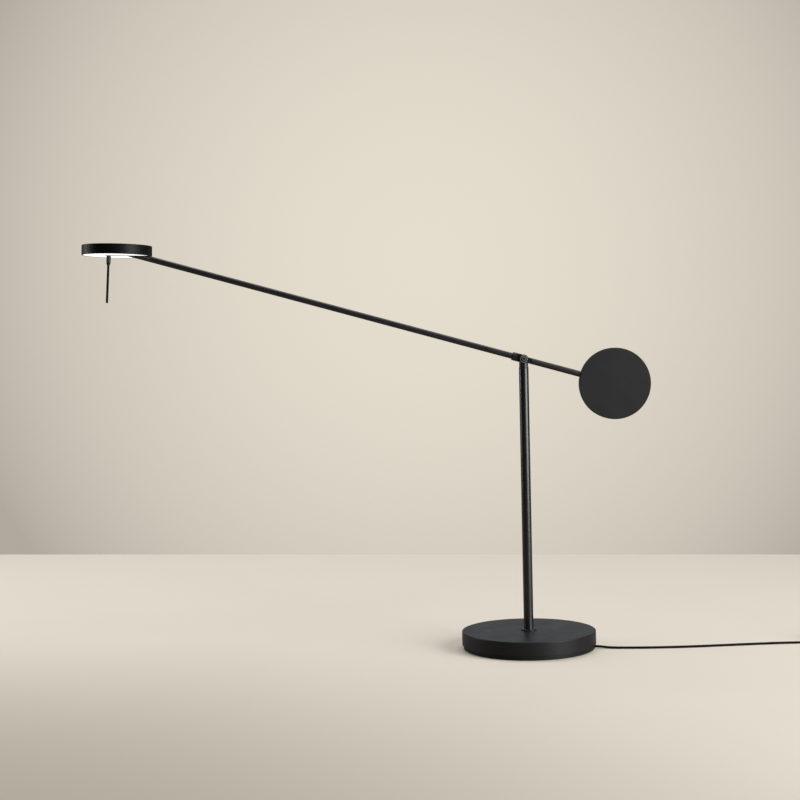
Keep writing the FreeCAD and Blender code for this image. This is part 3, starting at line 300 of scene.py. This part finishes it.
# ---- finishes: each takes its colour and roughness, and shades them a little ----
def powder_coat(look, colour, rough, shine=0.25):
    """Fine-textured black paint: grain, faint patches, and a patchy painted highlight along its
    edges.
    """
    patches = look.noise(0.03, detail=3)
    grains = look.noise(0.0005, detail=1)
    body = look.two_tone(patches, colour, dark=0.90, light=1.08)
    speckle = look.maths("MULTIPLY", look.ranged(grains, 0.35, 0.65), 0.35)
    body = look.mixed(speckle, body, scaled(colour, 1.25))
    # noise that makes the painted edge highlight patchy
    highlight_patches = look.ranged(look.noise(0.006, detail=3), 0.35, 0.7, low=0.3)
    look.set(Specular_IOR_Level=shine,
             Base_Color=look.with_edge_highlight(body, colour, radius=0.0007, share=0.25, paler=2.6, highlight_patches=highlight_patches),
             Roughness=look.spread(patches, rough - 0.03, rough + 0.05))
    look.bump(grains, 0.00004)


def satin_paint(look, colour, rough, shine, stretch=None):
    """Smooth stove enamel with faint orange peel and a few dull streaks along the part."""
    streaks = look.noise(0.012, detail=3, stretch=stretch)
    body = look.two_tone(streaks, colour, dark=0.92, light=1.08)
    # the base colour carries a painted highlight along the edges
    look.set(Specular_IOR_Level=shine,
             Base_Color=look.with_edge_highlight(body, colour, radius=0.0005, share=0.3, paler=2.4),
             Roughness=look.spread(streaks, rough - 0.04, rough + 0.05))
    look.bump(look.noise(0.0016, detail=1), 0.000012)


def turned_steel(look, colour, rough):
    """Blackened steel with fine lathe marks."""
    marks = look.noise(0.0007, detail=2, stretch=(0.15, 0.15, 1))
    body = look.two_tone(look.noise(0.004, detail=3), colour, dark=0.85, light=1.15)
    # the base colour carries a painted highlight along the edges
    look.set(Base_Color=look.with_edge_highlight(body, colour, radius=0.0004, share=0.35, paler=3.0),
             Roughness=look.spread(marks, rough - 0.06, rough + 0.06))
    look.bump(marks, 0.00002)


def pivot_face(look, colour, rough):
    """Steel about the main pivot: painted shade in the socket and in the gap round the head, and a
    painted highlight on the washer's rim.
    """
    low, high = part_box("pivot_screw")
    centre = ((low[0] + high[0]) / 2, 0, (low[2] + high[2]) / 2)
    away = look.vector_maths("SUBTRACT", look.point, centre)
    distance = look.vector_maths("LENGTH", look.vector_maths("MULTIPLY", away, (1, 0, 1)))
    off_gap = look.maths("ABSOLUTE", look.maths("SUBTRACT", distance, PIVOT_GAP_RADIUS))
    beside_gap = look.ring(off_gap, PIVOT_GAP_EDGE)
    # painted shadow in the gap where the screw's head meets its washer
    body = look.mixed(beside_gap, scaled(colour, PIVOT_GAP_SHADE), colour)
    on_rim = look.ring(distance, PIVOT_RIM_RADII)
    # painted highlight on the washer's rim
    body = look.mixed(on_rim, body, scaled(colour, PIVOT_RIM_HIGHLIGHT))
    outside_hole = look.ring(distance, PIVOT_HOLE_RADII)
    # painted shade in the screw's socket
    body = look.mixed(outside_hole, scaled(colour, PIVOT_SOCKET_SHADE), body)
    marks = look.noise(0.0004, detail=2)
    look.set(Base_Color=body, Roughness=look.spread(marks, rough - 0.06, rough + 0.06))
    look.bump(marks, 0.00001)


def moulded(look, colour, rough, shine=0.5, grain=0.0006, depth=0.00005):
    """Spark-textured plastic."""
    spark = look.cells(grain)
    cloud = look.noise(0.02, detail=2)
    look.set(Specular_IOR_Level=shine,
             Base_Color=look.two_tone(cloud, colour, dark=0.93, light=1.07),
             Roughness=look.over_cells(spark, rough - 0.05, rough + 0.06))
    look.bump(spark, depth)


def driver_shell(look, colour, rough):
    """Moulded housing: spark texture and the seam where its two halves meet."""
    spark = look.cells(0.0007)
    height = look.along(look.point, "Z")
    off_seam = look.maths("ABSOLUTE", look.maths("SUBTRACT", height, DRIVER_SEAM_HEIGHT))
    beside_seam = look.ring(off_seam, DRIVER_SEAM_EDGE)
    relief = look.maths("ADD", look.maths("MULTIPLY", beside_seam, DRIVER_SEAM_DEPTH), spark)
    look.set(Base_Color=look.mixed(beside_seam, scaled(colour, 0.35), colour),
             Roughness=look.over_cells(spark, rough - 0.05, rough + 0.06))
    look.bump(relief, 0.00005)


def bare_metal(look, colour, rough):
    """Plated or plain metal with short scratches."""
    scratches = look.noise(0.0009, detail=3)
    look.set(Metallic=1.0,
             Base_Color=look.two_tone(look.noise(0.006, detail=3), colour, dark=0.85, light=1),
             Roughness=look.spread(scratches, rough - 0.06, rough + 0.08))
    look.bump(scratches, 0.00001)


def sleeved_pin(look, colour, rough):
    """Plug pin: plastic sleeve next to the housing, plain metal beyond."""
    reach = look.along(look.point, "X")
    bare = look.ranged(reach, *PIN_SLEEVE_END)
    scratches = look.noise(0.0012, detail=3, stretch=(0.1, 1, 1))
    look.set(Metallic=bare,
             Base_Color=look.mixed(bare, SLEEVE_BLACK, colour),
             Roughness=look.spread(scratches, rough - 0.06, rough + 0.08))
    look.bump(scratches, 0.00001)


def cast_metal(look, colour, rough):
    """Sand-cast surface with a thin dull wash."""
    sand = look.noise(0.0012, detail=4, rough=0.65)
    look.set(Metallic=0.6,
             Base_Color=look.two_tone(look.noise(0.015, detail=3), colour, dark=0.8, light=1.1),
             Roughness=look.spread(sand, rough - 0.05, rough + 0.05))
    look.bump(sand, 0.00025)


def soft_rubber(look, colour, rough, shine=0.5):
    """Rubber or cord jacket: dull, with a faint bloom."""
    bloom = look.noise(0.01, detail=3)
    look.set(Specular_IOR_Level=shine,
             Base_Color=look.mixed(look.ranged(bloom, 0.35, 0.7), colour, scaled(colour, 1.5)),
             Roughness=look.spread(bloom, rough - 0.05, rough + 0.07))
    look.bump(look.noise(0.0008, detail=2), 0.00004)


def woven(look, colour, rough):
    """Hook-and-loop strap: tiny loops, with painted shade between them."""
    loops = look.cells(0.0006)
    # painted shade between the loops, lighter on their tops
    shade_between_loops = look.ranged(loops, 0.1, 0.7)
    look.set(Sheen_Weight=0.3,
             Base_Color=look.mixed(shade_between_loops, scaled(colour, 1.8), scaled(colour, 0.6)),
             Roughness=look.over_cells(loops, rough - 0.05, rough))
    look.bump(loops, 0.0003)


def circuit_board(look, colour, rough):
    """Solder mask over a pattern of copper traces."""
    bricks = look.add("ShaderNodeTexBrick")
    look.feed_all(bricks, Scale=220, Mortar_Size=0.03, Vector=look.point)
    traces = bricks.outputs["Fac"]
    look.set(Base_Color=look.mixed(traces, scaled(colour, 0.9), scaled(colour, 1.9)),
             Roughness=look.spread(look.noise(0.004), rough - 0.05, rough + 0.05))
    look.bump(traces, 0.00004)


def opal(look, colour, rough, glow):
    """Lit opal sheet: white, faintly uneven, with a fine etched face."""
    tone = look.two_tone(look.noise(0.02, detail=2), colour, dark=0.985, light=1)
    look.set(Base_Color=tone, Emission_Color=tone, Emission_Strength=glow, Roughness=rough)
    look.bump(look.noise(0.0007, detail=1), 0.00002)


# Every material slot of the record, and the strap, with its finish
FINISHES = {
    "base_paint": (powder_coat, dict(colour=(0.012, 0.012, 0.0122), rough=0.38, shine=0.34)),
    "pole_paint": (satin_paint, dict(colour=(0.004, 0.004, 0.0042), rough=0.30, shine=0.85,
                                     stretch=(1, 1, 0.08))),
    "arm_paint": (satin_paint, dict(colour=(0.016, 0.0145, 0.015), rough=0.34, shine=0.6)),
    "weight_paint": (powder_coat, dict(colour=(0.020, 0.020, 0.0205), rough=0.50)),
    "head_paint": (powder_coat, dict(colour=(0.003, 0.003, 0.0031), rough=0.44, shine=0.18)),
    "black_steel": (turned_steel, dict(colour=(0.010, 0.010, 0.0105), rough=0.34)),
    "handle_black": (satin_paint, dict(colour=(0.002, 0.002, 0.0021), rough=0.50, shine=0.15)),
    "plinth_plastic": (moulded, dict(colour=(0.013, 0.013, 0.0132), rough=0.42, shine=0.25)),
    "foot_rubber": (soft_rubber, dict(colour=(0.012, 0.012, 0.012), rough=0.80)),
    "pivot_steel": (pivot_face, dict(colour=(0.075, 0.075, 0.078), rough=0.42)),
    "cast_iron": (cast_metal, dict(colour=(0.20, 0.19, 0.18), rough=0.60)),
    "zinc_steel": (bare_metal, dict(colour=(0.62, 0.62, 0.63), rough=0.32)),
    "bearing_brass": (bare_metal, dict(colour=(0.72, 0.56, 0.30), rough=0.35)),
    "spring_brass": (bare_metal, dict(colour=(0.75, 0.60, 0.32), rough=0.25)),
    "washer_plastic": (moulded, dict(colour=(0.55, 0.54, 0.51), rough=0.45)),
    "key_plastic": (moulded, dict(colour=(0.040, 0.040, 0.041), rough=0.45, grain=0.0004)),
    "board_green": (circuit_board, dict(colour=(0.03, 0.16, 0.07), rough=0.35)),
    "part_black": (moulded, dict(colour=(0.03, 0.03, 0.03), rough=0.35)),
    "led_metal": (bare_metal, dict(colour=(0.86, 0.86, 0.85), rough=0.45)),
    "chip_yellow": (moulded, dict(colour=(0.93, 0.80, 0.32), rough=0.30, depth=0.00001)),
    "reflector_white": (moulded, dict(colour=(0.90, 0.90, 0.89), rough=0.50)),
    "diffuser_opal": (opal, dict(colour=(1.0, 0.985, 0.955), rough=0.35, glow=1.15)),
    "cord_black": (soft_rubber, dict(colour=(0.002, 0.002, 0.0021), rough=0.55, shine=0.15)),
    "lead_white": (soft_rubber, dict(colour=(0.55, 0.55, 0.53), rough=0.45)),
    "driver_black": (driver_shell, dict(colour=(0.020, 0.020, 0.022), rough=0.52)),
    "pin_metal": (sleeved_pin, dict(colour=(0.66, 0.66, 0.67), rough=0.28)),
    "strap": (woven, dict(colour=(0.020, 0.020, 0.022), rough=0.85)),
}


def make_finish(name):
    maker, values = FINISHES[name]
    look = Look("finish_" + name)
    maker(look, **values)
    return look.material


def dress_nodes(materials):
    """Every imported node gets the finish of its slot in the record."""
    for part in frame["record"]["subparts"]:
        mesh = frame["nodes"][part["node"]].data
        mesh.materials.clear()
        mesh.materials.append(materials[part["material_slot"]])


# ---- pieces ----
def keep(piece, body, material):
    """Adds a piece to the scene, in its finish and on its body."""
    bpy.context.scene.collection.objects.link(piece)
    piece.data.materials.append(material)
    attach(piece, body)
    return piece


def mesh_from(mesh, name):
    data = bpy.data.meshes.new(name)
    mesh.to_mesh(data)
    mesh.free()
    return data


def coil_points():
    """Control points of the coil's turns, layer on layer."""
    points = []
    angle = math.radians(COIL_START)
    for turns, radius_in, radius_out, low, high in COIL_STAGES:
        steps = round(turns * COIL_POINTS_PER_TURN)
        for step in range(1, steps + 1):
            share = step / steps
            turned = angle + share * turns * 2 * math.pi
            radius = (radius_in + (radius_out - radius_in) * share) * COIL_POINT_REACH
            points.append((COIL_CENTRE[0] + radius * math.cos(turned),
                           COIL_CENTRE[1] + radius * math.sin(turned),
                           low + (high - low) * share))
        angle += turns * 2 * math.pi
    return points


def make_cord(materials):
    """The cord: one smooth line from the base through its coil to the driver."""
    data = bpy.data.curves.new("cord_line", "CURVE")
    data.dimensions = "3D"
    data.bevel_depth = CORD_DIAMETER / 2
    data.bevel_resolution = CORD_SIDES
    data.resolution_u = CORD_STEPS
    data.use_fill_caps = True
    spline = data.splines.new("NURBS")
    points = [*CORD_ROUTE, *coil_points(), *CORD_TAIL]
    spline.points.add(len(points) - 1)
    for place, point in zip(spline.points, points):
        place.co = (*point, 1)
    spline.order_u = 3
    spline.use_endpoint_u = True
    cord = keep(bpy.data.objects.new("cord", data), "base", materials["cord_black"])
    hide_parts("power_cord", "power_cord_coil", "power_cord_tail")
    return cord


def tie_outline(offset):
    """Rounded rectangle round the coil's section, as (distance from its centre, height) pairs."""
    corners = ((TIE_OUTER, TIE_HIGH, 0), (TIE_INNER, TIE_HIGH, 90),
               (TIE_INNER, TIE_LOW, 180), (TIE_OUTER, TIE_LOW, 270))
    radius = TIE_CORNER + offset
    outline = []
    for reach, height, start in corners:
        side = -1 if reach == TIE_OUTER else 1
        down = -1 if height == TIE_HIGH else 1
        for step in range(TIE_CORNER_STEPS + 1):
            angle = math.radians(start + step * 90 / TIE_CORNER_STEPS)
            outline.append((reach + side * TIE_CORNER + radius * math.cos(angle),
                            height + down * TIE_CORNER + radius * math.sin(angle)))
    return outline


def add_tab(mesh):
    """The strap's free end: a second thickness lapped over its top."""
    half = TIE_WIDTH / 2
    middle = (TIE_INNER + TIE_OUTER) / 2
    lift = TIE_HIGH + TIE_THICKNESS
    rows = []
    for reach in (middle - TIE_TAB / 2, middle, middle + TIE_TAB / 2):
        section = ((-half, lift), (half, lift),
                   (half, lift + TIE_THICKNESS), (-half, lift + TIE_THICKNESS))
        rows.append([mesh.verts.new((reach, side, height)) for side, height in section])
    for before, after in zip(rows, rows[1:]):
        for k in range(4):
            mesh.faces.new((before[k], before[(k + 1) % 4], after[(k + 1) % 4], after[k]))
    mesh.faces.new(rows[0])
    mesh.faces.new(rows[-1][::-1])


def make_tie(materials):
    """Hook-and-loop strap round the coil, with its free end lapped over the top."""
    mesh = bmesh.new()
    inner = tie_outline(0)
    outer = tie_outline(TIE_THICKNESS)
    rings = []                # inner and outer line at one edge of the strap, then at the other
    for side in (-TIE_WIDTH / 2, TIE_WIDTH / 2):
        for line in (inner, outer):
            rings.append([mesh.verts.new((reach, side, height)) for reach, height in line])
    for k in range(len(inner)):
        after = (k + 1) % len(inner)
        for first, second in ((0, 2), (3, 1), (1, 0), (2, 3)):
            near = rings[first]
            far = rings[second]
            mesh.faces.new((near[k], near[after], far[after], far[k]))
    add_tab(mesh)
    bmesh.ops.recalc_face_normals(mesh, faces=mesh.faces)
    data = mesh_from(mesh, "coil_tie")
    turn = Matrix.Rotation(math.radians(TIE_BEARING), 4, "Z")
    data.transform(Matrix.Translation((*COIL_CENTRE, 0)) @ turn)
    tie = bpy.data.objects.new("coil_tie", data)
    rounding = tie.modifiers.new("edges", "BEVEL")
    rounding.width = TIE_EDGE
    rounding.segments = 2
    return keep(tie, "base", materials["strap"])


# ---- surroundings ----
def make_table():
    """Pale tabletop whose far edge runs where the photograph shows it."""
    mesh = bmesh.new()
    bottom = [mesh.verts.new((x, y, -TABLE_THICKNESS)) for x, y in TABLE_CORNERS]
    top = [mesh.verts.new((x, y, 0)) for x, y in TABLE_CORNERS]
    mesh.faces.new(bottom[::-1])
    mesh.faces.new(top)
    for k in range(4):
        after = (k + 1) % 4
        mesh.faces.new((bottom[k], bottom[after], top[after], top[k]))
    table = bpy.data.objects.new("table", mesh_from(mesh, "table"))
    bpy.context.scene.collection.objects.link(table)
    table.data.materials.append(table_finish())


def table_finish():
    """Matt, with painted shade toward the near left corner, and evened out by a faint glow for the
    camera alone.
    """
    look = Look("finish_table")
    # painted shade toward the near left corner, where the light falls off
    corner = look.vector_maths("DISTANCE", look.point, TABLE_SHADE_CORNER)
    shade = look.ranged(corner, *TABLE_SHADE_REACH, low=1, high=0, smooth=True)
    base = look.two_tone(look.noise(0.25, detail=2), TABLE_NEAR, dark=0.985, light=1)
    tone = look.mixed(shade, base, TABLE_SHADED)
    seen = look.add("ShaderNodeLightPath").outputs["Is Camera Ray"]
    bounced = look.mixed(1 - TABLE_BOUNCE, tone, (0, 0, 0))
    slope = look.vector_maths("DOT_PRODUCT", look.point, TABLE_GLOW_SLOPE)
    glow = look.maths("MAXIMUM", look.maths("ADD", slope, TABLE_GLOW))
    look.set(Roughness=0.75, Specular_IOR_Level=0.2,
             Base_Color=look.mixed(seen, bounced, tone),
             Emission_Color=tone,
             Emission_Strength=look.maths("MULTIPLY", glow, seen))
    look.bump(look.noise(0.002, detail=3), 0.00002)
    return look.material


def make_world():
    """A pale wall for the camera, with a painted pool of light on it. Other rays see a dim studio,
    brighter behind for gloss.
    """
    world = bpy.data.worlds.new("studio")
    bpy.context.scene.world = world
    world.use_nodes = True
    world.node_tree.nodes.clear()
    nodes = Nodes(world.node_tree)
    direction = nodes.add("ShaderNodeTexCoord").outputs["Generated"]
    spot = nodes.vector_maths("DOT_PRODUCT", direction, WALL_SPOT)
    bright = nodes.maths("POWER", nodes.ranged(spot, WALL_SPREAD, 1.0), WALL_FALLOFF)
    wall = nodes.mixed(bright, WALL_DIM, WALL_BRIGHT)
    behind = nodes.ranged(nodes.along(direction, "Y"), *STUDIO_BACK_EDGE, STUDIO_FRONT, STUDIO_BACK)
    path = nodes.add("ShaderNodeLightPath").outputs
    seen = path["Is Camera Ray"]
    shiny = nodes.maths("MAXIMUM", path["Is Glossy Ray"], path["Is Transmission Ray"])
    studio = nodes.between(shiny, STUDIO_FILL, behind)
    background = nodes.add("ShaderNodeBackground")
    nodes.feed_all(background, Color=nodes.mixed(seen, STUDIO_TINT, wall),
                   Strength=nodes.between(seen, studio, 1.0))
    output = nodes.add("ShaderNodeOutputWorld")
    nodes.feed_all(output, Surface=background.outputs["Background"])


def make_lights():
    for name, place, aim, width, height, watts in LIGHTS:
        data = bpy.data.lights.new(name, "AREA")
        data.shape = "RECTANGLE"
        data.size = width
        data.size_y = height
        data.energy = watts
        lamp = bpy.data.objects.new(name, data)
        lamp.location = place
        lamp.rotation_mode = "QUATERNION"
        lamp.rotation_quaternion = (Vector(aim) - Vector(place)).to_track_quat("-Z", "Y")
        bpy.context.scene.collection.objects.link(lamp)


def make_camera():
    data = bpy.data.cameras.new("camera")
    data.sensor_width = CAMERA_SENSOR
    data.lens = CAMERA_LENS
    camera = bpy.data.objects.new("camera", data)
    turn = (Matrix.Rotation(math.radians(CAMERA_YAW), 4, "Z")
            @ Matrix.Rotation(math.radians(90 + CAMERA_PITCH), 4, "X")
            @ Matrix.Rotation(math.radians(CAMERA_ROLL), 4, "Z"))
    camera.matrix_world = Matrix.Translation(CAMERA_PLACE) @ turn
    bpy.context.scene.collection.objects.link(camera)
    bpy.context.scene.camera = camera


def main():
    bpy.context.scene.view_settings.view_transform = "Standard"
    make_camera()
    materials = {name: make_finish(name) for name in FINISHES}
    cord = make_cord(materials)
    tie = make_tie(materials)
    dress_nodes(materials)
    make_table()
    make_world()
    make_lights()


main()
